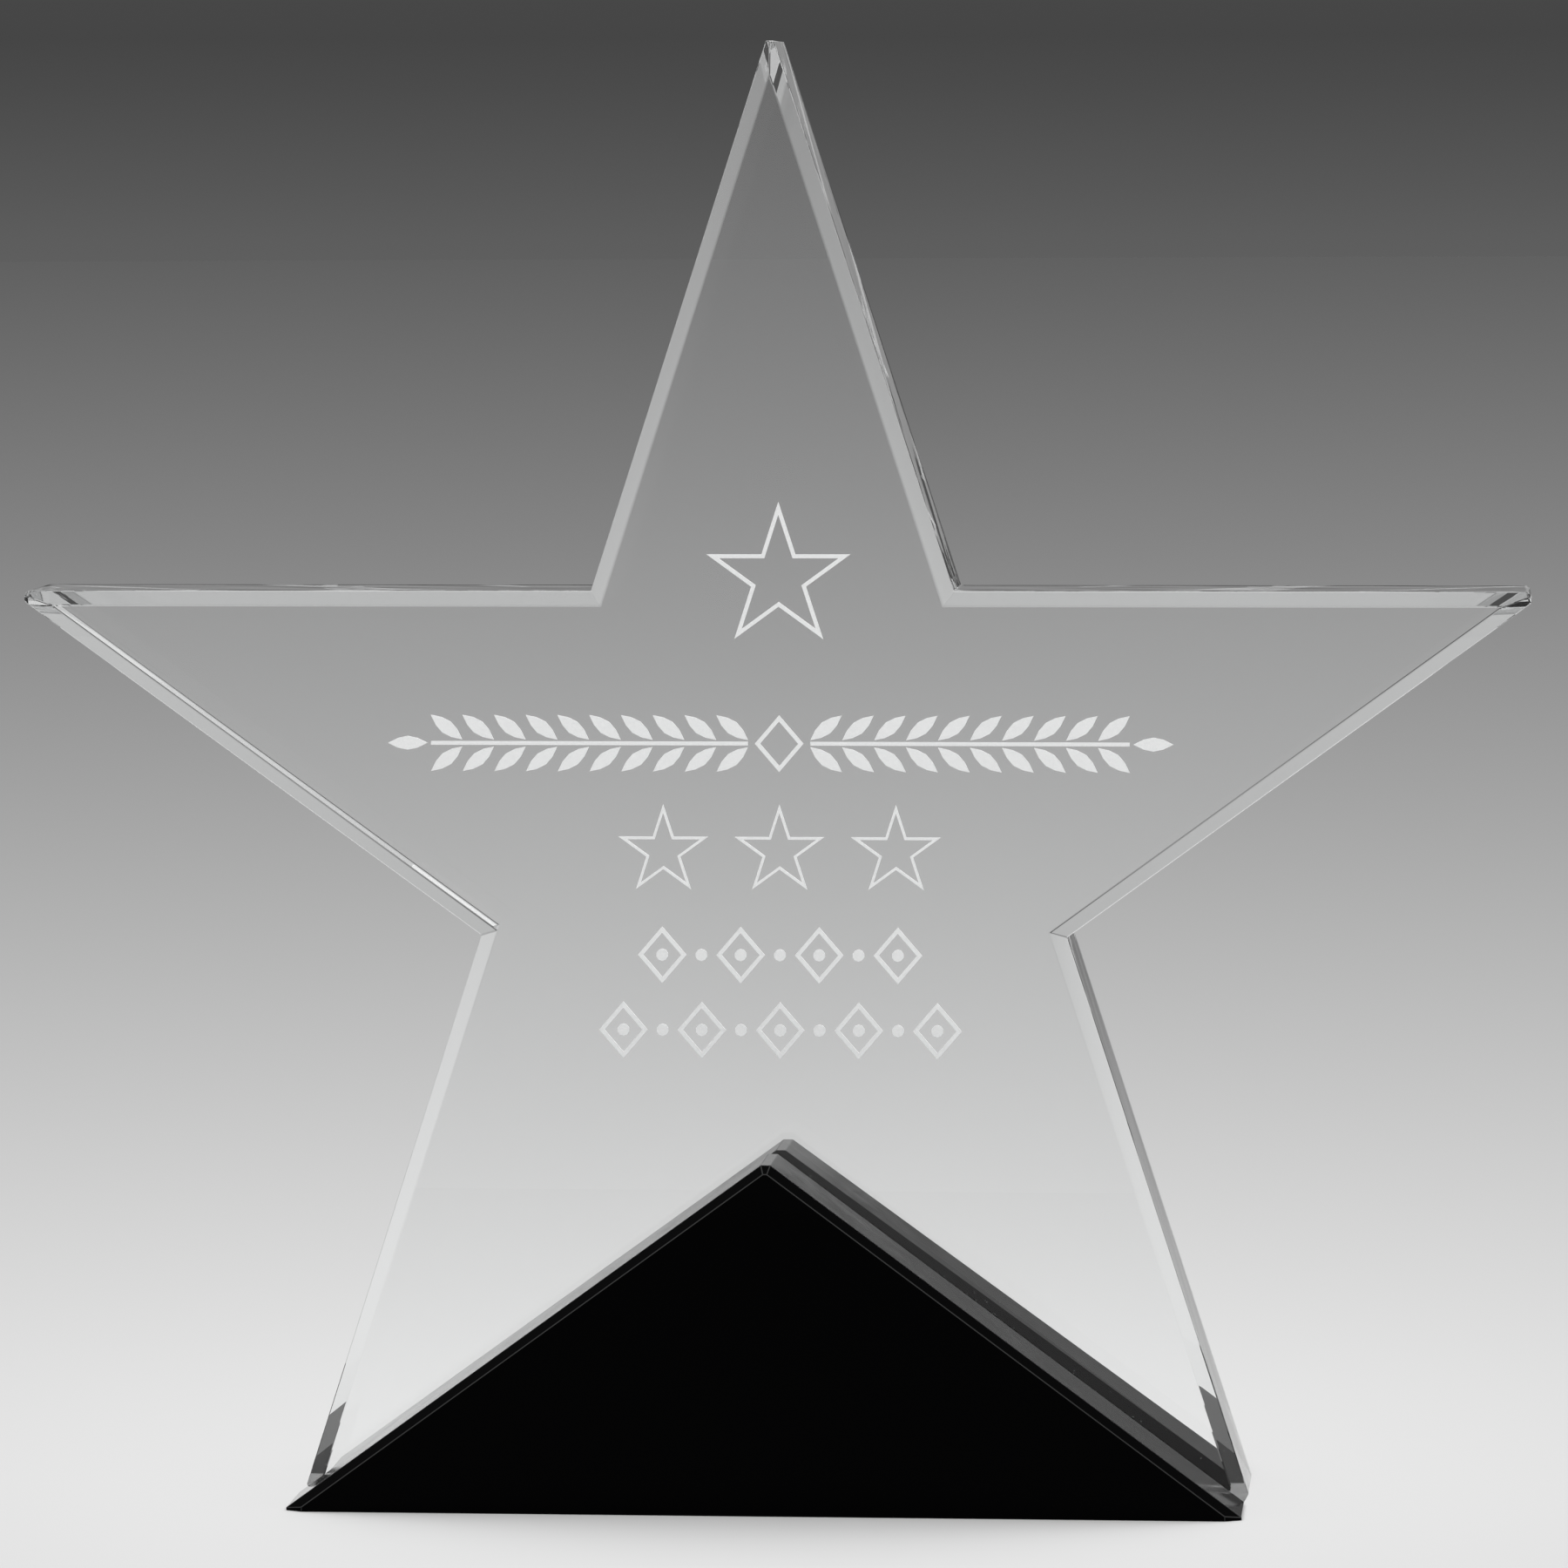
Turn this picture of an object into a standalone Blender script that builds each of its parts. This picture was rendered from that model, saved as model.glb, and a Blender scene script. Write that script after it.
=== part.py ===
"""Crystal star award: a clear five-pointed star plate that stands between two black crystal triangles.

X runs to the right seen from the front, Y from the front to the back, and Z up.
The origin is the middle of the footprint, on the surface that the award stands on.
Lengths are in metres.
"""

import math

import bmesh
import bpy
from mathutils import Vector

MM = 0.001

# The star: a regular five-pointed star on its two lower points.
STAR_RADIUS = 98.6 * MM
STAR_POINTS = 5
NOTCH_RATIO = (3.0 - math.sqrt(5.0)) / 2.0
LEG_EXTENSION = 1.1 * MM
PLATE_THICKNESS = 16.0 * MM
FRONT_CHAMFER_WIDTH = 1.75 * MM
FRONT_CHAMFER_DEPTH = 1.0 * MM
REAR_CHAMFER = 0.8 * MM
TOP_TIP_FLAT = 1.0 * MM
SIDE_TIP_FLAT = 1.3 * MM
LEG_CORNER_RISE = 1.2 * MM
LEG_CORNER_INSET = 0.7 * MM

# The black triangles, one on each face of the star, each about as wide as the space between the legs.
# Widths are measured left and right from below the apex. The rear one is a little smaller.
TRIANGLE_THICKNESS = 12.0 * MM
TRIANGLE_CHAMFER = 1.0 * MM
CORNER_CHAMFER = 2.0 * MM
APEX_FLAT = 1.15 * MM
APEX_FLAT_DROP = 0.42 * MM
FRONT_APEX_HEIGHT = 43.1 * MM
FRONT_LEFT_WIDTH = 59.2 * MM
FRONT_RIGHT_WIDTH = 57.9 * MM
FRONT_CORNER_CUT = 0.5 * MM
REAR_APEX_HEIGHT = 42.2 * MM
REAR_HALF_WIDTH = 58.16 * MM
REAR_CORNER_CUT = 1.6 * MM

# The glue films, a little inside the triangles' outlines.
FILM_THICKNESS = 0.1 * MM
FILM_GAP = 0.05 * MM
FILM_INSET = 0.4 * MM
FILM_CORNER_CUT = 1.6 * MM

# The engraving in the star's rear face. Heights are above the star's centre.
ENGRAVING_DEPTH = 0.4 * MM
CUTTER_REACH = 2.0 * MM
LARGE_STAR_RADIUS = 9.3 * MM
LARGE_STAR_HEIGHT = 31.6 * MM
LARGE_STAR_LINE = 0.48 * MM
SMALL_STAR_RADIUS = 5.8 * MM
SMALL_STAR_HEIGHT = -2.1 * MM
SMALL_STAR_LINE = 0.32 * MM
SMALL_STAR_SPACING = 14.35 * MM
SMALL_STARS = (-1, 0, 1)
GARLAND_HEIGHT = 11.2 * MM
GARLAND_HALF_LENGTH = 48.4 * MM
GARLAND_GAP = 3.4 * MM
GARLAND_STEM_WIDTH = 0.45 * MM
LEAF_PAIRS = 10
LEAF_LENGTH = 4.9 * MM
LEAF_WIDTH = 1.7 * MM
LEAF_ANGLE = math.radians(38.0)
LEAF_ROOT_OFFSET = 0.45 * MM
LEAF_SIDE_POINTS = 4
LOZENGE_WIDTH = 6.0 * MM
LOZENGE_TALL = 7.0 * MM
LOZENGE_LINE = 0.5 * MM
LOZENGE_PITCH = 9.7 * MM
BEAD_RADIUS = 0.75 * MM
BEAD_SIDES = 10
UPPER_BAND_HEIGHT = -14.9 * MM
UPPER_BAND_LOZENGES = 4
LOWER_BAND_HEIGHT = -24.2 * MM
LOWER_BAND_LOZENGES = 5

TIP_HALF_ANGLE = math.pi / (2 * STAR_POINTS)
FRONT_TRIANGLE = (FRONT_APEX_HEIGHT, FRONT_LEFT_WIDTH, FRONT_RIGHT_WIDTH, FRONT_CORNER_CUT)
REAR_TRIANGLE = (REAR_APEX_HEIGHT, REAR_HALF_WIDTH, REAR_HALF_WIDTH, REAR_CORNER_CUT)
STAR_CENTRE_HEIGHT = STAR_RADIUS * math.cos(math.pi / STAR_POINTS) + LEG_EXTENSION
PLATE_FRONT = -PLATE_THICKNESS / 2
PLATE_REAR = PLATE_THICKNESS / 2
BOND_GAP = FILM_THICKNESS + 2 * FILM_GAP

CLEAR_CRYSTAL = ((0.93, 0.95, 0.95, 1.0), 0.02, 1.0)
BLACK_CRYSTAL = ((0.006, 0.006, 0.007, 1.0), 0.05, 0.0)
CLEAR_ADHESIVE = ((0.80, 0.82, 0.80, 1.0), 0.12, 1.0)
CRYSTAL_IOR = 1.52


def clear_scene():
    for thing in list(bpy.data.objects):
        bpy.data.objects.remove(thing, do_unlink=True)


def make_material(name, look):
    """A plain dielectric: look is its colour, roughness and transmission."""
    colour, roughness, transmission = look
    material = bpy.data.materials.new(name)
    material.use_nodes = True
    shader = material.node_tree.nodes["Principled BSDF"]
    shader.inputs["Base Color"].default_value = colour
    shader.inputs["Roughness"].default_value = roughness
    shader.inputs["Metallic"].default_value = 0.0
    shader.inputs["IOR"].default_value = CRYSTAL_IOR
    shader.inputs["Transmission Weight"].default_value = transmission
    return material


def add_object(name, mesh, material):
    thing = bpy.data.objects.new(name, mesh)
    thing.data.materials.append(material)
    bpy.context.scene.collection.objects.link(thing)
    return thing


def polar(radius, angle):
    """The point at this radius, with the angle measured clockwise from straight up."""
    return Vector((radius * math.sin(angle), radius * math.cos(angle)))


def star_outline(radius, centre):
    """A five-pointed star's corners, anticlockwise from the top, tips and notches in turn."""
    step = -math.pi / STAR_POINTS
    radii = (radius, radius * NOTCH_RATIO)
    return [centre + polar(radii[k % 2], k * step) for k in range(2 * STAR_POINTS)]


def meeting_point(point_a, along_a, point_b, along_b):
    """Where two lines in the plane cross."""
    return point_a + along_a * ((point_b - point_a).cross(along_b) / along_a.cross(along_b))


def inset_outline(outline, distances):
    """An anticlockwise outline with the edge that starts at each corner moved inward by its distance."""
    count = len(outline)
    moved = []
    for start, end, distance in zip(outline, outline[1:] + outline[:1], distances):
        along = (end - start).normalized()
        moved.append((start + Vector((-along.y, along.x)) * distance, along))
    return [meeting_point(*moved[k - 1], *moved[k]) for k in range(count)]


def bridge_rings(mesh, rings):
    """Joins each ring of vertices to the next with quads."""
    for near, far in zip(rings, rings[1:]):
        for k in range(len(near)):
            following = (k + 1) % len(near)
            mesh.faces.new((near[k], near[following], far[following], far[k]))


def finish_mesh(mesh, name):
    bmesh.ops.recalc_face_normals(mesh, faces=mesh.faces)
    data = bpy.data.meshes.new(name)
    mesh.to_mesh(data)
    mesh.free()
    return data


def slab(sections):
    """A closed slab through sections: each is an outline in X and Z, and its place along Y."""
    mesh = bmesh.new()
    rings = [[mesh.verts.new((p.x, y, p.y)) for p in outline] for outline, y in sections]
    bridge_rings(mesh, rings)
    mesh.faces.new(rings[0])
    mesh.faces.new(rings[-1][::-1])
    return mesh


def cut_off(mesh, point, normal):
    """Cuts away what lies beyond a plane, given in X and Z, and closes the cut."""
    geometry = mesh.verts[:] + mesh.edges[:] + mesh.faces[:]
    plane_point = Vector((point.x, 0.0, point.y))
    plane_normal = Vector((normal.x, 0.0, normal.y))
    cut = bmesh.ops.bisect_plane(
        mesh, geom=geometry, plane_co=plane_point, plane_no=plane_normal, clear_outer=True
    )
    rim = [item for item in cut["geom_cut"] if isinstance(item, bmesh.types.BMEdge)]
    bmesh.ops.contextual_create(mesh, geom=rim)


def plate_outline():
    """The star's outline, with the space between its legs filled and its legs run down to the base."""
    star = star_outline(STAR_RADIUS, Vector((0.0, STAR_CENTRE_HEIGHT)))
    left_leg = 2 * 2
    right_leg = 2 * 3
    base = Vector((0.0, 0.0))
    along_base = Vector((1.0, 0.0))
    left_notch, left_tip = star[left_leg - 1], star[left_leg]
    right_notch, right_tip = star[right_leg + 1], star[right_leg]
    left_corner = meeting_point(left_notch, left_tip - left_notch, base, along_base)
    right_corner = meeting_point(right_notch, right_tip - right_notch, base, along_base)
    return star[:left_leg] + [left_corner, right_corner] + star[right_leg + 1:]


def trim_tips(mesh):
    """Grinds a small flat on the top tip and the two side tips."""
    centre = Vector((0.0, STAR_CENTRE_HEIGHT))
    side_turn = 2 * math.pi / STAR_POINTS
    for angle, flat in ((0.0, TOP_TIP_FLAT), (side_turn, SIDE_TIP_FLAT), (-side_turn, SIDE_TIP_FLAT)):
        reach = STAR_RADIUS - flat / 2 / math.tan(TIP_HALF_ANGLE)
        cut_off(mesh, centre + polar(reach, angle), polar(1.0, angle))


def trim_leg_corners(mesh, outline):
    """Takes the sharp corner off the foot of each leg."""
    outer_x = max(p.x for p in outline if p.y < LEG_CORNER_RISE)
    foot_x = outer_x - LEG_CORNER_INSET - LEG_CORNER_RISE * math.tan(TIP_HALF_ANGLE)
    slope = Vector((LEG_CORNER_RISE, -LEG_CORNER_INSET)).normalized()
    for side in (1, -1):
        cut_off(mesh, Vector((side * foot_x, 0.0)), Vector((side * slope.x, slope.y)))


def build_plate(material):
    outline = plate_outline()
    base_edge = outline.index(min(outline, key=lambda p: (round(p.y, 6), p.x)))
    chamfered = [0.0 if k == base_edge else 1.0 for k in range(len(outline))]
    mesh = slab([
        (inset_outline(outline, [c * FRONT_CHAMFER_WIDTH for c in chamfered]), PLATE_FRONT),
        (outline, PLATE_FRONT + FRONT_CHAMFER_DEPTH),
        (outline, PLATE_REAR - REAR_CHAMFER),
        (inset_outline(outline, [c * REAR_CHAMFER for c in chamfered]), PLATE_REAR),
    ])
    trim_tips(mesh)
    trim_leg_corners(mesh, outline)
    return add_object("star_plate", finish_mesh(mesh, "star_plate"), material)


def triangle_outline(apex_height, left_width, right_width, corner_cut):
    """Anticlockwise from the left end of the base, with its three corners cut."""
    flat_x = APEX_FLAT / 2
    flat_z = apex_height - APEX_FLAT_DROP
    left_x = corner_cut - left_width
    right_x = right_width - corner_cut
    left_z = corner_cut * apex_height / left_width
    right_z = corner_cut * apex_height / right_width
    right = [(right_x, 0.0), (right_x, right_z), (flat_x, flat_z)]
    left = [(-flat_x, flat_z), (left_x, left_z)]
    return [Vector(corner) for corner in [(left_x, 0.0)] + right + left]


def build_triangle(name, side, shape, material):
    """side is -1 in front of the star and 1 behind it. Only the outer face is chamfered."""
    outline = triangle_outline(*shape)
    chamfers = [0.0, CORNER_CHAMFER] + [TRIANGLE_CHAMFER] * 3 + [CORNER_CHAMFER]
    bonded = side * (PLATE_REAR + BOND_GAP)
    outer = bonded + side * TRIANGLE_THICKNESS
    mesh = slab([
        (outline, bonded),
        (outline, outer - side * TRIANGLE_CHAMFER),
        (inset_outline(outline, chamfers), outer),
    ])
    return add_object(name, finish_mesh(mesh, name), material)


def build_film(name, side, shape, material):
    """The thin layer of glue between the star and one triangle."""
    outline = triangle_outline(*shape[:3], FILM_CORNER_CUT)
    film = inset_outline(outline, [FILM_INSET] * len(outline))
    near = side * (PLATE_REAR + FILM_GAP)
    mesh = slab([(film, near), (film, near + side * FILM_THICKNESS)])
    return add_object(name, finish_mesh(mesh, name), material)


def engrave_region(mesh, outline, hole=None):
    """Adds one closed cutter through the rear face: a filled outline, or the band between it and a hole."""
    depths = (PLATE_REAR - ENGRAVING_DEPTH, PLATE_REAR + CUTTER_REACH)
    outer = [[mesh.verts.new((p.x, y, p.y)) for p in outline] for y in depths]
    bridge_rings(mesh, outer)
    if hole is None:
        mesh.faces.new(outer[0])
        mesh.faces.new(outer[1][::-1])
        return
    inner = [[mesh.verts.new((p.x, y, p.y)) for p in hole] for y in depths]
    bridge_rings(mesh, inner)
    bridge_rings(mesh, [outer[0], inner[0]])
    bridge_rings(mesh, [outer[1], inner[1]])


def engrave_outline(mesh, outline, line_width):
    engrave_region(mesh, outline, inset_outline(outline, [line_width] * len(outline)))


def leaf_outline(root, direction):
    """A pointed leaf of two equal arcs."""
    across = Vector((-direction.y, direction.x))
    steps = [k / LEAF_SIDE_POINTS for k in range(LEAF_SIDE_POINTS + 1)]
    bulge = [LEAF_WIDTH / 2 * math.sin(math.pi * s) for s in steps]
    spine = [root + direction * (LEAF_LENGTH * s) for s in steps]
    right = [p - across * b for p, b in zip(spine, bulge)]
    left = [p + across * b for p, b in zip(spine, bulge)]
    return right + left[-2:0:-1]


def engrave_garland(mesh, centre):
    """Two laurel sprays that grow outward from a lozenge, with their leaves in pairs along a stem."""
    engrave_outline(mesh, lozenge_outline(centre), LOZENGE_LINE)
    stem_start = GARLAND_GAP + LEAF_ROOT_OFFSET
    last_root = GARLAND_HALF_LENGTH - LEAF_LENGTH * (1.0 + math.cos(LEAF_ANGLE)) - LEAF_ROOT_OFFSET
    pitch = (last_root - stem_start) / (LEAF_PAIRS - 1)
    half_stem = GARLAND_STEM_WIDTH / 2
    for side in (1, -1):
        stem_end = GARLAND_HALF_LENGTH - LEAF_LENGTH - LEAF_ROOT_OFFSET
        ends = sorted((side * stem_start, side * stem_end))
        corners = [(ends[0], -half_stem), (ends[1], -half_stem), (ends[1], half_stem), (ends[0], half_stem)]
        engrave_region(mesh, [centre + Vector(corner) for corner in corners])
        tip_root = centre + Vector((side * (stem_end + LEAF_ROOT_OFFSET), 0.0))
        engrave_region(mesh, leaf_outline(tip_root, Vector((side, 0.0))))
        for k in range(LEAF_PAIRS):
            for up in (1, -1):
                root = centre + Vector((side * (stem_start + k * pitch), up * LEAF_ROOT_OFFSET))
                grows = Vector((side * math.cos(LEAF_ANGLE), up * math.sin(LEAF_ANGLE)))
                engrave_region(mesh, leaf_outline(root, grows))


def lozenge_outline(centre):
    half_wide = LOZENGE_WIDTH / 2
    half_tall = LOZENGE_TALL / 2
    corners = ((half_wide, 0.0), (0.0, half_tall), (-half_wide, 0.0), (0.0, -half_tall))
    return [centre + Vector(corner) for corner in corners]


def bead_outline(centre):
    return [centre + polar(BEAD_RADIUS, -2 * math.pi * k / BEAD_SIDES) for k in range(BEAD_SIDES)]


def engrave_band(mesh, centre, lozenges):
    """A row of lozenges with a bead inside each one and one between each pair."""
    for k in range(lozenges):
        place = centre + Vector(((k - (lozenges - 1) / 2) * LOZENGE_PITCH, 0.0))
        engrave_outline(mesh, lozenge_outline(place), LOZENGE_LINE)
        engrave_region(mesh, bead_outline(place))
        if k:
            engrave_region(mesh, bead_outline(place - Vector((LOZENGE_PITCH / 2, 0.0))))


def engraving_cutter():
    """Every engraved figure as one cutter for the star's rear face."""
    mesh = bmesh.new()
    centre = Vector((0.0, STAR_CENTRE_HEIGHT))
    up = Vector((0.0, 1.0))
    across = Vector((1.0, 0.0))
    engrave_outline(mesh, star_outline(LARGE_STAR_RADIUS, centre + up * LARGE_STAR_HEIGHT), LARGE_STAR_LINE)
    engrave_garland(mesh, centre + up * GARLAND_HEIGHT)
    for place in SMALL_STARS:
        small_centre = centre + up * SMALL_STAR_HEIGHT + across * (place * SMALL_STAR_SPACING)
        engrave_outline(mesh, star_outline(SMALL_STAR_RADIUS, small_centre), SMALL_STAR_LINE)
    engrave_band(mesh, centre + up * UPPER_BAND_HEIGHT, UPPER_BAND_LOZENGES)
    engrave_band(mesh, centre + up * LOWER_BAND_HEIGHT, LOWER_BAND_LOZENGES)
    cutter = bpy.data.objects.new("engraving_cutter", finish_mesh(mesh, "engraving_cutter"))
    cutter.hide_render = True
    cutter.display_type = "WIRE"
    bpy.context.scene.collection.objects.link(cutter)
    return cutter


def engrave(plate, cutter):
    cut = plate.modifiers.new("engraving", "BOOLEAN")
    cut.operation = "DIFFERENCE"
    cut.solver = "EXACT"
    cut.object = cutter


def main():
    clear_scene()
    clear = make_material("clear_crystal", CLEAR_CRYSTAL)
    plate = build_plate(clear)
    engrave(plate, engraving_cutter())
    for word, side, shape in (("front", -1, FRONT_TRIANGLE), ("rear", 1, REAR_TRIANGLE)):
        black = make_material(word + "_black_crystal", BLACK_CRYSTAL)
        glue = make_material(word + "_adhesive", CLEAR_ADHESIVE)
        build_triangle(word + "_black_triangle", side, shape, black)
        build_film(word + "_adhesive_film", side, shape, glue)


main()
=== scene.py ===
"""The looks of the crystal star award: a clear star plate held between two black crystal triangles.

Everything is in metres, in the frame of the CAD model: X to the right, Y away from the viewer, Z up.
"""

import math

import bmesh
import bpy
from mathutils import Matrix, Vector, noise


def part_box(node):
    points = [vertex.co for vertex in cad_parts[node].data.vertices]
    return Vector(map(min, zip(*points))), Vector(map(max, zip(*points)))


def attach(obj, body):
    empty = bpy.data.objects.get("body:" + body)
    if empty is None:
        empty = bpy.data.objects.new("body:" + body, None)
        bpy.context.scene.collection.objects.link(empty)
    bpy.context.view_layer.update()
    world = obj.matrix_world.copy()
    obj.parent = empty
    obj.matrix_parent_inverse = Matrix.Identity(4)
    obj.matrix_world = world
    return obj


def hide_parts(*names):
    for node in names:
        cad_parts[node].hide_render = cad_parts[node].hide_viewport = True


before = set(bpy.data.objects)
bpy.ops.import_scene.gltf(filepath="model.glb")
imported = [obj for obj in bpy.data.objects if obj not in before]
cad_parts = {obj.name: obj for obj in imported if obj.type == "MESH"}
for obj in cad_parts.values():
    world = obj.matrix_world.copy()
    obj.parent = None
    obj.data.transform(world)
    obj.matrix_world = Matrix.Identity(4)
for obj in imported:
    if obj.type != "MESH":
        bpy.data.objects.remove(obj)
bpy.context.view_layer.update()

MM = 0.001
BODY = "root"

# The camera: a long lens, a little to the right of the award and a little above it.
CAMERA_PLACE = Vector((84.3, -980.0, 165.1)) * MM
CAMERA_YAW = math.radians(-4.871)
CAMERA_PITCH = math.radians(-4.523)
CAMERA_ROLL = math.radians(-0.212)
LENS_MM = 184.85
SENSOR_MM = 36.0
CLIP_NEAR = 0.01
CLIP_FAR = 40.0

# The stage: a pale floor with a painted pool of light, its grey lightest around the award and falling to its
# grey far away, under a soft dome of light. The dome's stops are (degrees above the horizon, grey).
FLOOR_RADIUS = 11.0
FLOOR_SIDES = 96
FLOOR_FAR = 0.0671
FLOOR_LIGHT_POOL_GAIN = 0.584
LIGHT_POOL_CORE = 0.02
LIGHT_POOL_REACH = 0.645
LIGHT_POOL_POWER = 1.123
DOME_STOPS = (
    (-1.0, 0.118), (-0.8, 0.116), (-0.19, 0.091), (0.42, 0.070), (1.04, 0.054), (1.7, 0.12), (2.6, 0.27),
    (4.0, 0.40), (8.0, 0.50), (13.0, 0.60), (24.0, 0.68), (32.0, 0.80), (42.0, 1.60), (90.0, 1.80),
)

# A soft panel in front, standing on the floor, that the polished faces mirror. It is brighter higher up.
PANEL_Y = -0.30
PANEL_HALF_WIDTH = 0.8
PANEL_HEIGHT = 0.5
PANEL_RISE = (0.0, 0.11)
PANEL_GLOW = (0.85, 1.85)

# A soft card far behind and to the right, which also shows through the crystal, and a small bright one in
# front, to the right and high up, which shows only in reflections.
REAR_CARD_Y = 3.0
REAR_CARD_X = (0.16, 0.80)
REAR_CARD_Z = (0.10, 0.45)
REAR_CARD_STEP = (0.275, 0.295)
REAR_CARD_GLOW = (0.42, 0.13)
KEY_PLACE = Vector((1.03, -1.65, 1.10))
KEY_HALF = 0.28
KEY_GLOW = (12.0, 16.0)

# The looks. A tint is what is left of white light that goes in through one such surface and out through
# another. A roughness has a low and a high end, and a band is the part of a pattern's range that counts.
CRYSTAL_IOR = 1.52
GLUE_IOR = 1.5
FACE_TINT = (0.985, 0.99, 0.99)
# Painted shade: the walls' and chamfers' tints are darker than the faces' tint.
WALL_PAINTED_SHADE_TINT = (0.74, 0.75, 0.75)
CHAMFER_PAINTED_SHADE_TINT = (0.82, 0.83, 0.83)
# Painted shade: the chamfers that face upward get a still darker tint.
UPPER_CHAMFER_PAINTED_SHADE_TINT = (0.46, 0.47, 0.47)
CLOUD_SCALE = 25.0
CLOUD_BAND = (0.35, 0.65)
CLOUD_DIMMING = 0.99
WALL_ROUGHNESS = (0.005, 0.03)
HAZE_SCALE = 140.0
HAZE_BAND = (0.35, 0.75)
WALL_WAVES = {"scale": 450.0, "height": 0.005 * MM, "detail": 2.0}
CHAMFER_WAVES = {"scale": 300.0, "height": 0.004 * MM, "detail": 1.0}
FROST_WHITES = ((0.90, 0.91, 0.91), (0.97, 0.975, 0.975))
GRIT_SCALE = 6000.0
GRIT_BAND = (0.3, 0.7)
GRIT_HEIGHT = 0.03 * MM
BLACK = (0.0005, 0.0005, 0.0006)
BLACK_CLOUD_SCALE = 220.0
BLACK_CLOUD_BAND = (0.3, 0.7)
BLACK_GRAIN_SCALE = 3500.0
BLACK_GRAIN_BAND = (0.55, 0.75)
BLACK_GRAIN_HEIGHT = 0.004 * MM
GLUED_BLACK = (0.002, 0.002, 0.002)
GLUE_TINT = (0.8, 0.82, 0.82)
BUBBLE_SCALE = 1100.0
BUBBLE_EDGE = (0.05, 0.11)
BUBBLE_OPACITY = (0.25, 0.0)

# The mesh work.
WELD = 0.001 * MM
SKIN = 0.02 * MM
FLAT_ANGLE = math.radians(0.2)
ARRIS_ANGLE = math.radians(20.0)
SMOOTH_ANGLE = math.radians(5.0)
PLATE_ARRIS = 0.12 * MM
BLACK_ARRIS = 0.07 * MM
ARRIS_SEGMENTS = 2
TIP_ROUNDING = 0.5 * MM
TIP_SEGMENTS = 4
TIP_AREA = 60.0 * MM * MM
TIP_FACING = 0.9
ENGRAVING_REACH = 1.0 * MM
LONG_WALL_AREA = 100.0 * MM * MM
WALL_CELL = 1.3 * MM
RIPPLE_HEIGHT = 0.035 * MM
RIPPLE_LENGTH = 11.0 * MM
RIPPLE_ACROSS = 5.0 * MM
RIPPLE_SLANT = 0.8
RIPPLE_SINK = 0.5
RIPPLE_SPREAD = 3.0

# How far a unit normal leans along an axis: a flat face, a wall, a face that looks up, one that looks down.
FLAT_LEAN = 0.9
WALL_LEAN = 0.1
UPWARD_LEAN = 0.4
DOWNWARD_LEAN = -0.99

# The material places of the star and of a black triangle.
CLEAR, POLISHED, FROSTED, BONDED, CHAMFERED, UPPER_CHAMFERED_SHADED = range(6)
GLOSS, WALL, GLUED, ARRIS = range(4)


# ---------------------------------------------------------------- camera, floor and light

def add_object(name, data):
    thing = bpy.data.objects.new(name, data)
    bpy.context.scene.collection.objects.link(thing)
    return thing


def mesh_data(mesh, name):
    """Turns a bmesh into mesh data."""
    data = bpy.data.meshes.new(name)
    mesh.to_mesh(data)
    mesh.free()
    return data


def add_camera():
    """A camera aimed by its yaw, pitch and roll from straight along +Y."""
    yaw, pitch, roll = CAMERA_YAW, CAMERA_PITCH, CAMERA_ROLL
    forward = Vector((math.sin(yaw) * math.cos(pitch), math.cos(yaw) * math.cos(pitch), math.sin(pitch)))
    level_right = Vector((math.cos(yaw), -math.sin(yaw), 0.0))
    level_up = level_right.cross(forward)
    right = level_right * math.cos(roll) + level_up * math.sin(roll)
    up = level_up * math.cos(roll) - level_right * math.sin(roll)
    turn = Matrix((right, up, -forward)).transposed().to_4x4()
    data = bpy.data.cameras.new("camera")
    data.lens = LENS_MM
    data.sensor_width = SENSOR_MM
    data.clip_start = CLIP_NEAR
    data.clip_end = CLIP_FAR
    camera = add_object("camera", data)
    camera.matrix_world = Matrix.Translation(CAMERA_PLACE) @ turn
    bpy.context.scene.camera = camera


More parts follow.
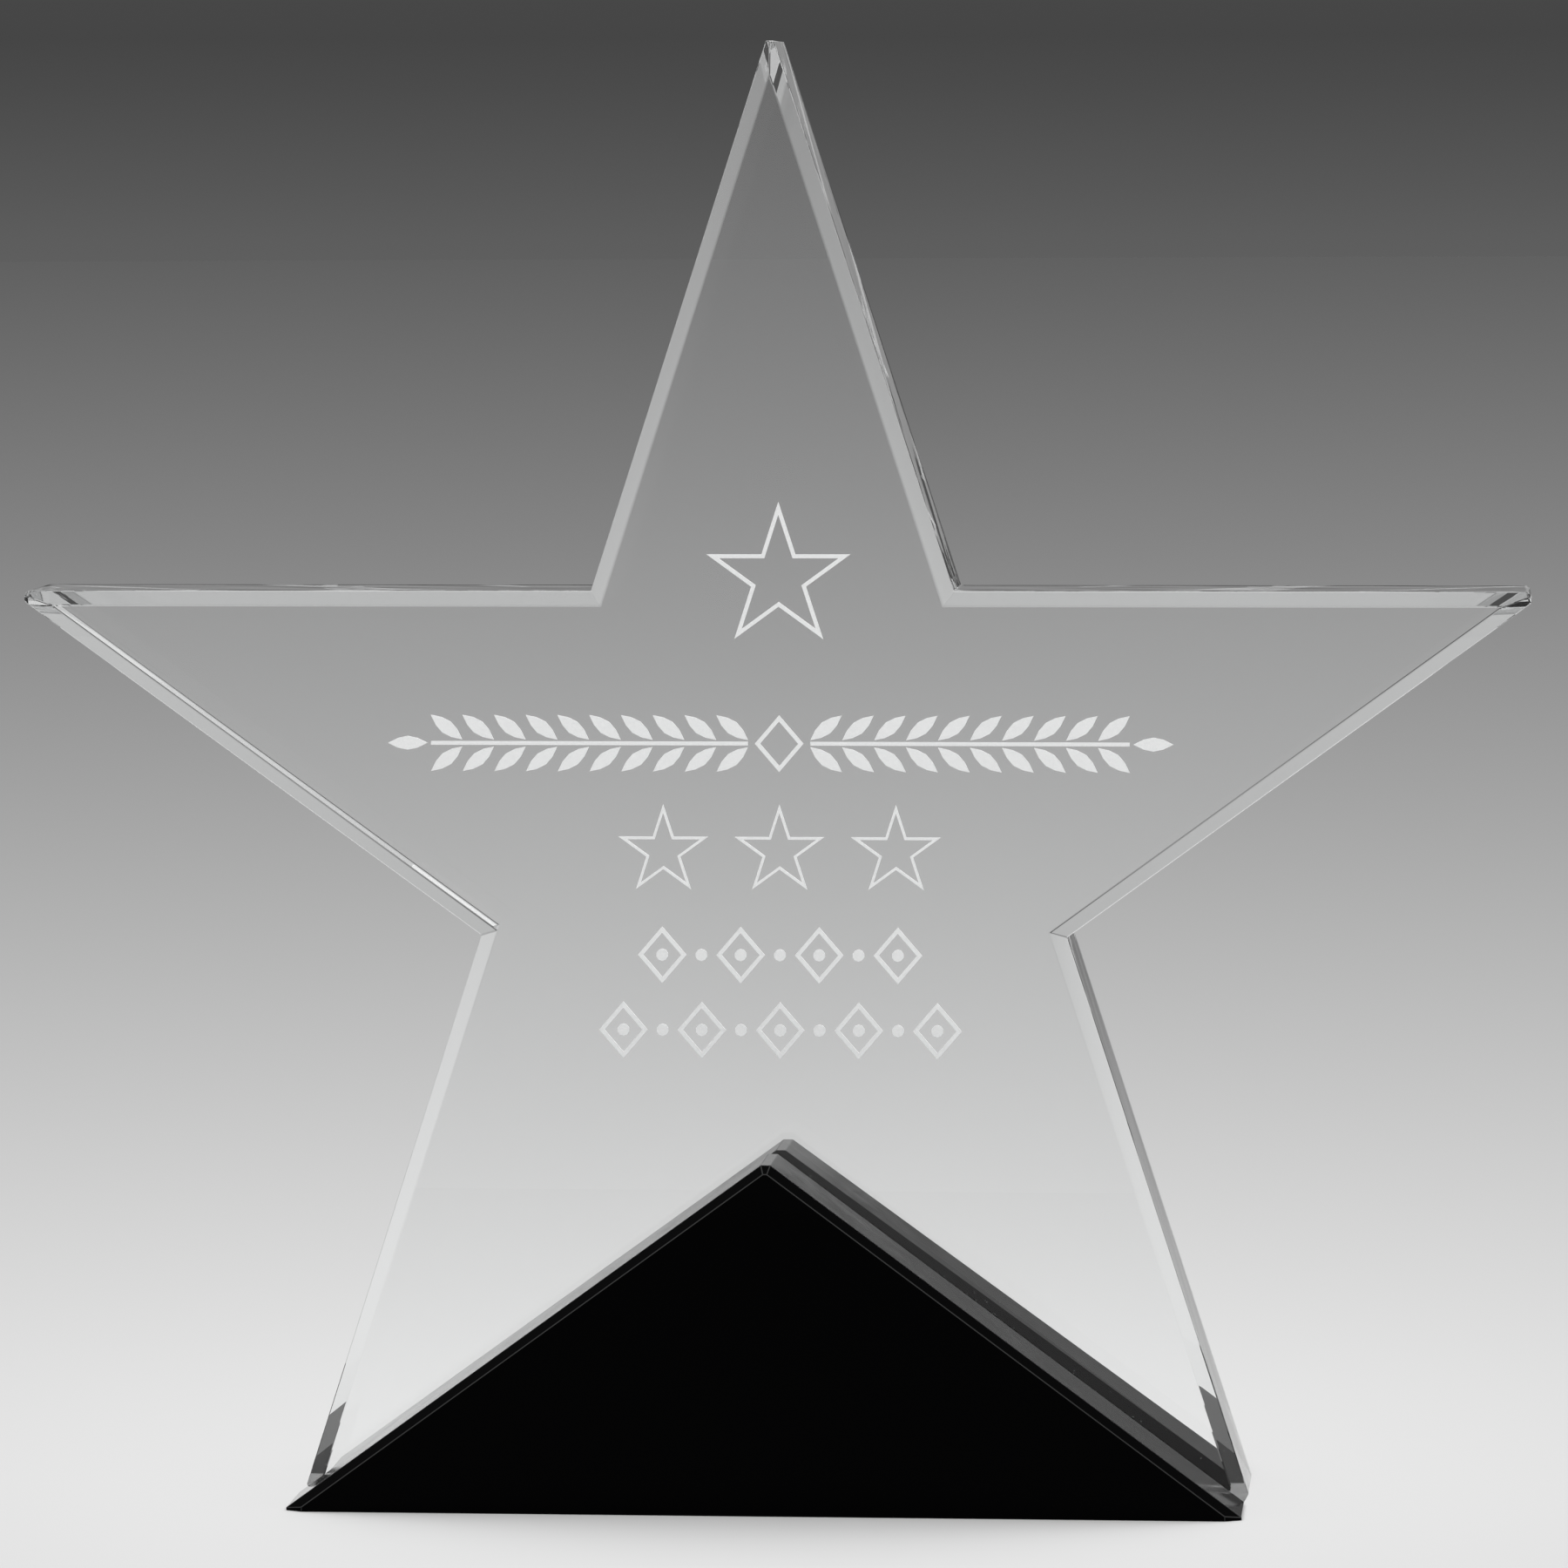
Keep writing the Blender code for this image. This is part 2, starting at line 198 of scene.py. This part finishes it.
class Nodes:
    """A short way to write a node tree."""

    def __init__(self, tree):
        self.tree = tree
        tree.nodes.clear()

    def add(self, kind, settings=None, **inputs):
        node = self.tree.nodes.new(kind)
        for name, value in (settings or {}).items():
            setattr(node, name, value)
        for name, value in inputs.items():
            self.put(node, name.replace("_", " "), value)
        return node

    def put(self, node, name, value):
        socket = node.inputs[name]
        if isinstance(value, bpy.types.NodeSocket):
            self.tree.links.new(value, socket)
        else:
            socket.default_value = value

    def math(self, operation, first, second=0.0):
        node = self.add("ShaderNodeMath", {"operation": operation})
        self.put(node, 0, first)
        self.put(node, 1, second)
        return node.outputs[0]

    def ramp(self, factor, stops):
        """A colour ramp from (position, colour) stops, where a colour is a grey or three numbers."""
        node = self.add("ShaderNodeValToRGB", Fac=factor)
        ramp = node.color_ramp
        stops = list(stops)
        while len(ramp.elements) < len(stops):
            ramp.elements.new(0.5)
        for element, (position, colour) in zip(ramp.elements, stops):
            element.position = position
            element.color = (*colour, 1.0) if isinstance(colour, tuple) else (colour, colour, colour, 1.0)
        return node.outputs["Color"]

    def place(self):
        """The shaded point, in the object's own axes."""
        return self.add("ShaderNodeTexCoord").outputs["Object"]

    def noise(self, scale, detail):
        """A cloudy pattern that is fixed to the object."""
        return self.add("ShaderNodeTexNoise", Vector=self.place(), Scale=scale, Detail=detail).outputs["Fac"]

    def spread(self, value, band, ends):
        """Stretches a band of the value to lie between two ends."""
        node = self.add("ShaderNodeMapRange", Value=value, From_Min=band[0], From_Max=band[1],
                        To_Min=ends[0], To_Max=ends[1])
        return node.outputs["Result"]

    def finish(self, shader, kind="ShaderNodeOutputMaterial"):
        self.tree.links.new(shader, self.add(kind).inputs["Surface"])


def start_material(name):
    """A new material and its node tree."""
    material = bpy.data.materials.new(name)
    material.use_nodes = True
    return material, Nodes(material.node_tree)


def add_dome():
    """A soft dome of light: bright overhead, dark near the horizon."""
    world = bpy.data.worlds.new("studio")
    bpy.context.scene.world = world
    world.use_nodes = True
    nodes = Nodes(world.node_tree)
    heading = nodes.add("ShaderNodeTexCoord").outputs["Generated"]
    rise = nodes.add("ShaderNodeSeparateXYZ", Vector=heading).outputs["Z"]
    angle = nodes.math("ARCSINE", rise)
    low, high = math.radians(DOME_STOPS[0][0]), math.radians(DOME_STOPS[-1][0])
    place = nodes.add("ShaderNodeMapRange", Value=angle, From_Min=low, From_Max=high).outputs["Result"]
    span = DOME_STOPS[-1][0] - DOME_STOPS[0][0]
    stops = [((degrees - DOME_STOPS[0][0]) / span, grey) for degrees, grey in DOME_STOPS]
    colour = nodes.ramp(place, stops)
    nodes.finish(nodes.add("ShaderNodeBackground", Color=colour).outputs[0], "ShaderNodeOutputWorld")


def painted_light_floor_material():
    """Pale paper with a painted pool of light: lightest around the award, darker with distance."""
    material, nodes = start_material("studio_paper_painted_light")
    length = nodes.add("ShaderNodeVectorMath", {"operation": "LENGTH"}, Vector=nodes.place())
    radius = length.outputs["Value"]
    # Painted pool of light: the paper's grey falls off with distance from the award.
    core = nodes.math("SQRT", nodes.math("ADD", nodes.math("MULTIPLY", radius, radius), LIGHT_POOL_CORE ** 2))
    reach = nodes.math("DIVIDE", nodes.math("SUBTRACT", core, LIGHT_POOL_CORE), LIGHT_POOL_REACH)
    light_falloff = nodes.math("ADD", nodes.math("POWER", reach, LIGHT_POOL_POWER), 1.0)
    grey = nodes.math("ADD", nodes.math("DIVIDE", FLOOR_LIGHT_POOL_GAIN, light_falloff), FLOOR_FAR)
    nodes.finish(nodes.add("ShaderNodeBsdfDiffuse", Color=grey).outputs[0])
    return material


def add_floor():
    mesh = bmesh.new()
    bmesh.ops.create_circle(mesh, cap_ends=True, radius=FLOOR_RADIUS, segments=FLOOR_SIDES)
    floor = add_object("floor", mesh_data(mesh, "floor"))
    floor.data.materials.append(painted_light_floor_material())


def add_reflector(name, corners, emission, through_crystal=False):
    """A glowing card that shows only as a reflection in polished faces, or through the crystal too."""
    mesh = bmesh.new()
    mesh.faces.new([mesh.verts.new(corner) for corner in corners])
    card = add_object(name, mesh_data(mesh, name))
    card.data.materials.append(emission)
    card.visible_transmission = through_crystal
    for ray in ("camera", "diffuse", "volume_scatter", "shadow"):
        setattr(card, "visible_" + ray, False)


def glow_material(name, axis, places, strengths):
    """Emission that changes smoothly from one strength to another between two places along an axis."""
    material, nodes = start_material(name)
    along = nodes.add("ShaderNodeSeparateXYZ", Vector=nodes.place()).outputs[axis]
    glow = nodes.add("ShaderNodeMapRange", {"interpolation_type": "SMOOTHSTEP"}, Value=along,
                     From_Min=places[0], From_Max=places[1], To_Min=strengths[0], To_Max=strengths[1])
    nodes.finish(nodes.add("ShaderNodeEmission", Strength=glow.outputs["Result"]).outputs[0])
    return material


def add_reflectors():
    """The front panel, the rear card and the key card, which is square and faces the award."""
    upright = ((-1, 0), (1, 0), (1, 1), (-1, 1))
    front = [(x * PANEL_HALF_WIDTH, PANEL_Y, z * PANEL_HEIGHT) for x, z in upright]
    add_reflector("front_panel", front, glow_material("front_panel_glow", "Z", PANEL_RISE, PANEL_GLOW))
    (left, right), (low, high) = REAR_CARD_X, REAR_CARD_Z
    rear = [(x, REAR_CARD_Y, z) for x, z in ((left, low), (right, low), (right, high), (left, high))]
    rear_glow = glow_material("rear_card_glow", "X", REAR_CARD_STEP, REAR_CARD_GLOW)
    add_reflector("rear_card", rear, rear_glow, through_crystal=True)
    sideways = Vector((-KEY_PLACE.y, KEY_PLACE.x, 0.0)).normalized()
    upwards = KEY_PLACE.cross(sideways).normalized()
    square = ((-1, -1), (1, -1), (1, 1), (-1, 1))
    key = [KEY_PLACE + (sideways * a + upwards * b) * KEY_HALF for a, b in square]
    edges = (KEY_PLACE.z - KEY_HALF, KEY_PLACE.z + KEY_HALF)
    add_reflector("key_card", key, glow_material("key_card_glow", "Z", edges, KEY_GLOW))


# ---------------------------------------------------------------- materials

def add_waves(nodes, shader, waves):
    """Shallow polishing waves, as a bump."""
    height = nodes.noise(waves["scale"], waves["detail"])
    bump = nodes.add("ShaderNodeBump", Height=height, Distance=waves["height"], Strength=1.0)
    nodes.put(shader, "Normal", bump.outputs["Normal"])


def clear_material(name, tint_and_shade, waves=None):
    """Clear crystal polished flat, a little uneven in its clearness and, on the rim, slightly waved. On the
    chamfers its tint is darker than on the faces: painted shade.
    """
    material, nodes = start_material(name)
    dimmer = tuple(CLOUD_DIMMING * c for c in tint_and_shade)
    clearness_and_shade = nodes.ramp(nodes.noise(CLOUD_SCALE, 2.0), zip(CLOUD_BAND, (dimmer, tint_and_shade)))
    shader = nodes.add("ShaderNodeBsdfPrincipled", Base_Color=clearness_and_shade, Roughness=0.0, IOR=CRYSTAL_IOR,
                       Transmission_Weight=1.0)
    if waves:
        add_waves(nodes, shader, waves)
    nodes.finish(shader.outputs[0])
    return material


def wall_material():
    """The hand-polished walls of clear crystal, with a faint haze, fine waves and a darker tint that is
    painted shade.
    """
    material, nodes = start_material("crystal_walls_painted_shade")
    rough = nodes.spread(nodes.noise(HAZE_SCALE, 3.0), HAZE_BAND, WALL_ROUGHNESS)
    shader = nodes.add("ShaderNodeBsdfPrincipled", Base_Color=(*WALL_PAINTED_SHADE_TINT, 1.0), Roughness=rough,
                       IOR=CRYSTAL_IOR, Transmission_Weight=1.0)
    add_waves(nodes, shader, WALL_WAVES)
    nodes.finish(shader.outputs[0])
    return material


def frosted_material():
    """The sandblasted engraving: white, with the fine grain of the grit."""
    material, nodes = start_material("frosted_engraving")
    grit = nodes.noise(GRIT_SCALE, 2.0)
    white = nodes.ramp(grit, zip(GRIT_BAND, FROST_WHITES))
    bump = nodes.add("ShaderNodeBump", Height=grit, Distance=GRIT_HEIGHT, Strength=0.6)
    shader = nodes.add("ShaderNodeBsdfPrincipled", Base_Color=white, Roughness=0.7, IOR=CRYSTAL_IOR,
                       Specular_IOR_Level=0.3, Normal=bump.outputs["Normal"])
    nodes.finish(shader.outputs[0])
    return material


def bonded_material():
    """The part of the plate's faces that the glue wets: it neither bends nor mirrors light."""
    material, nodes = start_material("bonded_face")
    nodes.finish(nodes.add("ShaderNodeBsdfTransparent", Color=(1.0, 1.0, 1.0, 1.0)).outputs[0])
    return material


def black_material(name, specular, roughness, speckle):
    """Black crystal: near-black all through, glossy, with dust-fine polishing marks."""
    material, nodes = start_material(name)
    rough = nodes.spread(nodes.noise(BLACK_CLOUD_SCALE, 4.0), BLACK_CLOUD_BAND, roughness)
    grain = nodes.noise(BLACK_GRAIN_SCALE, 1.0)
    colour = nodes.ramp(grain, zip(BLACK_GRAIN_BAND, (BLACK, speckle)))
    bump = nodes.add("ShaderNodeBump", Height=grain, Distance=BLACK_GRAIN_HEIGHT, Strength=0.5)
    shader = nodes.add("ShaderNodeBsdfPrincipled", Base_Color=colour, Roughness=rough, IOR=CRYSTAL_IOR,
                       Specular_IOR_Level=specular, Normal=bump.outputs["Normal"])
    nodes.finish(shader.outputs[0])
    return material


def glued_material():
    """The bonded face of a black triangle, which the glue leaves without a reflection."""
    material, nodes = start_material("glued_black")
    shader = nodes.add("ShaderNodeBsdfPrincipled", Base_Color=(*GLUED_BLACK, 1.0), Roughness=1.0,
                       Specular_IOR_Level=0.0)
    nodes.finish(shader.outputs[0])
    return material


def glue_material():
    """Clear glue with a scatter of pin-prick bubbles."""
    material, nodes = start_material("clear_glue")
    cells = nodes.add("ShaderNodeTexVoronoi", Vector=nodes.place(), Scale=BUBBLE_SCALE, Randomness=1.0)
    bubble = nodes.spread(cells.outputs["Distance"], BUBBLE_EDGE, BUBBLE_OPACITY)
    shader = nodes.add("ShaderNodeBsdfPrincipled", Base_Color=(*GLUE_TINT, 1.0), Roughness=0.3,
                       IOR=GLUE_IOR, Alpha=bubble)
    nodes.finish(shader.outputs[0])
    return material


# ---------------------------------------------------------------- pieces

def node_copy(name):
    """A CAD node's surface with its split corners welded."""
    mesh = bmesh.new()
    mesh.from_mesh(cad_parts[name].data)
    bmesh.ops.remove_doubles(mesh, verts=mesh.verts, dist=WELD)
    return mesh


def merge_flats(mesh):
    """Makes one face of each flat area that has one material."""
    bmesh.ops.dissolve_limit(
        mesh, angle_limit=FLAT_ANGLE, verts=mesh.verts, edges=mesh.edges, delimit={"MATERIAL"}
    )


def touching(faces):
    """The faces with their edges and corners, as bisect_plane wants them."""
    edges = {edge for face in faces for edge in face.edges}
    corners = {corner for face in faces for corner in face.verts}
    return list(corners) + list(edges) + list(faces)


def slope_planes(node):
    """The upright sides and the slopes of a triangular node, as (point, outward normal)."""
    low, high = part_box(node)
    corners = [v.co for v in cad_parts[node].data.vertices]
    apex = [c for c in corners if abs(c.z - high.z) < SKIN]
    planes = [(Vector((0.0, 0.0, high.z)), Vector((0.0, 0.0, 1.0)))]
    for side, edge_x in ((-1, low.x), (1, high.x)):
        foot = Vector((edge_x, 0.0, max(c.z for c in corners if abs(c.x - edge_x) < SKIN)))
        top = Vector((max(side * c.x for c in apex) * side, 0.0, high.z))
        along = top - foot
        planes.append((foot, Vector((side * along.z, 0.0, -side * along.x)).normalized()))
        planes.append((foot, Vector((side, 0.0, 0.0))))
    return planes


def mark_bond(mesh, side, film):
    """Cuts the film's outline into the plate's face on that side, and marks what lies inside it."""
    face_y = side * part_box("star_plate")[1].y
    planes = slope_planes(film)

    def on_face():
        return [f for f in mesh.faces if all(abs(v.co.y - face_y) < SKIN for v in f.verts)]

    for point, normal in planes:
        bmesh.ops.bisect_plane(mesh, geom=touching(on_face()), plane_co=point, plane_no=normal)
    for face in on_face():
        middle = face.calc_center_median()
        if all((middle - point).dot(normal) < 0.0 for point, normal in planes):
            face.material_index = BONDED


def mark_rim(mesh):
    """Marks the walls and the chamfers, and apart from them the chamfers that face upward, which are tinted
    darkest as painted shade.
    """
    for face in mesh.faces:
        if abs(face.normal.y) > FLAT_LEAN or face.material_index != CLEAR:
            continue
        if abs(face.normal.y) < WALL_LEAN:
            face.material_index = POLISHED
        else:
            # Upward-facing chamfers get the darkest tint: painted shade.
            face.material_index = UPPER_CHAMFERED_SHADED if face.normal.z > UPWARD_LEAN else CHAMFERED


def mark_engraving(mesh):
    """Marks the floors and walls of the recesses, which lie a little inside the rear face."""
    rear_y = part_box("star_plate")[1].y
    for face in mesh.faces:
        deepest = min(v.co.y for v in face.verts)
        inside = rear_y - ENGRAVING_REACH < deepest < rear_y - SKIN
        if inside and (abs(face.normal.y) < WALL_LEAN or face.normal.y > FLAT_LEAN):
            face.material_index = FROSTED


def round_side_tips(mesh):
    """Rounds the rim of the small ground flat on each of the star's two side tips."""
    flats = [f for f in mesh.faces if f.material_index == POLISHED and f.calc_area() < TIP_AREA]
    flats = [f for f in flats if f.calc_center_median().z > MM and abs(f.normal.x) > TIP_FACING]
    rims = {e for f in flats for e in f.edges}
    bmesh.ops.bevel(
        mesh, geom=list(rims), offset=TIP_ROUNDING, segments=TIP_SEGMENTS, profile=0.5, affect="EDGES",
        clamp_overlap=True, material=-1,
    )


def bevel_arrises(mesh, width, wanted, material=-1):
    """Bevels the wanted corners narrowly, in their neighbours' material (-1) or in one of their own."""
    edges = [
        e for e in mesh.edges
        if len(e.link_faces) == 2 and e.calc_face_angle(0.0) > ARRIS_ANGLE and wanted(e)
    ]
    bmesh.ops.bevel(
        mesh, geom=edges, offset=width, segments=ARRIS_SEGMENTS, profile=0.5, affect="EDGES",
        clamp_overlap=True, material=material,
    )


def long_direction(face):
    """The direction of the face's longest edge."""
    edge = max(face.edges, key=lambda e: e.calc_length())
    return (edge.verts[1].co - edge.verts[0].co).normalized()


def grid_cuts(mesh, faces, direction, cell):
    """Cuts the faces into strips about one cell wide, across the direction."""
    reach = [v.co.dot(direction) for f in faces for v in f.verts]
    low, high = min(reach), max(reach)
    count = max(1, round((high - low) / cell))
    for k in range(1, count):
        point = direction * (low + (high - low) * k / count)
        cut = bmesh.ops.bisect_plane(mesh, geom=touching(faces), plane_co=point, plane_no=direction)
        faces = list({f for f in faces if f.is_valid}
                     | {g for g in cut["geom"] if isinstance(g, bmesh.types.BMFace)})
    return faces


def ripple_walls(mesh):
    """Gives each long polished wall the shallow waves of hand polishing."""
    walls = [
        f for f in mesh.faces
        if f.material_index == POLISHED and f.calc_area() > LONG_WALL_AREA and f.normal.z > DOWNWARD_LEAN
    ]
    for wall in walls:
        along = long_direction(wall)
        normal = wall.normal.copy()
        across = normal.cross(along)
        faces = grid_cuts(mesh, [wall], along, WALL_CELL)
        faces = grid_cuts(mesh, faces, across, WALL_CELL)
        inner = {v for f in faces for v in f.verts if all(g in faces for g in v.link_faces)}
        for corner in inner:
            lengthways = corner.co.dot(along) / RIPPLE_LENGTH
            crossways = corner.co.dot(across) / RIPPLE_ACROSS
            point = Vector((lengthways + RIPPLE_SLANT * crossways, crossways, 0.0)) + normal * RIPPLE_SPREAD
            corner.co += normal * (RIPPLE_HEIGHT * (noise.noise(point) - RIPPLE_SINK))


def finish_piece(mesh, name, materials, stands_for):
    """Makes an object of the mesh, standing for a CAD node."""
    bmesh.ops.recalc_face_normals(mesh, faces=mesh.faces)
    data = mesh_data(mesh, name)
    data.shade_smooth()
    data.set_sharp_from_angle(angle=SMOOTH_ANGLE)
    for material in materials:
        data.materials.append(material)
    piece = add_object(name, data)
    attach(piece, BODY)
    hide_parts(stands_for)
    return piece


def build_star():
    """The clear plate, which casts no shadow of its own on the floor."""
    mesh = node_copy("star_plate")
    for face in mesh.faces:
        face.material_index = CLEAR
    mark_engraving(mesh)
    mark_bond(mesh, -1, "front_adhesive_film")
    mark_bond(mesh, 1, "rear_adhesive_film")
    mark_rim(mesh)
    merge_flats(mesh)
    round_side_tips(mesh)
    bevel_arrises(mesh, PLATE_ARRIS, lambda e: all(f.material_index != FROSTED for f in e.link_faces))
    ripple_walls(mesh)
    materials = [
        clear_material("crystal_faces", FACE_TINT),
        wall_material(),
        frosted_material(),
        bonded_material(),
        clear_material("crystal_chamfers_painted_shade", CHAMFER_PAINTED_SHADE_TINT, CHAMFER_WAVES),
        clear_material("crystal_upper_chamfers_painted_shade", UPPER_CHAMFER_PAINTED_SHADE_TINT, CHAMFER_WAVES),
    ]
    star = finish_piece(mesh, "crystal_star", materials, "star_plate")
    star.visible_shadow = False
    star.visible_diffuse = False


def build_triangle(node, name):
    """A black triangle, with separate looks for its face, its walls, its bonded face and its corners."""
    mesh = node_copy(node)
    low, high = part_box(node)
    inner_y = high.y if high.y < 0.0 else low.y
    for face in mesh.faces:
        face.material_index = GLOSS
        if all(abs(v.co.y - inner_y) < SKIN for v in face.verts):
            face.material_index = GLUED
        elif abs(face.normal.y) < WALL_LEAN:
            face.material_index = WALL
    merge_flats(mesh)
    bevel_arrises(mesh, BLACK_ARRIS, lambda e: all(f.material_index != GLUED for f in e.link_faces), ARRIS)
    materials = [
        black_material("black_gloss", specular=0.015, roughness=(0.02, 0.05), speckle=0.0006),
        black_material("black_wall", specular=0.5, roughness=(0.04, 0.12), speckle=0.02),
        glued_material(),
        black_material("black_arris", specular=0.25, roughness=(0.05, 0.10), speckle=0.001),
    ]
    finish_piece(mesh, name, materials, node)


def dress_film(node):
    """Gives a carried-over glue film its material."""
    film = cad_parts[node]
    film.data.materials.clear()
    film.data.materials.append(glue_material())


# ---------------------------------------------------------------- the scene

bpy.context.scene.view_settings.view_transform = "Standard"
add_camera()
add_dome()
add_floor()
add_reflectors()
build_star()
build_triangle("front_black_triangle", "black_triangle_front")
build_triangle("rear_black_triangle", "black_triangle_rear")
dress_film("front_adhesive_film")
dress_film("rear_adhesive_film")
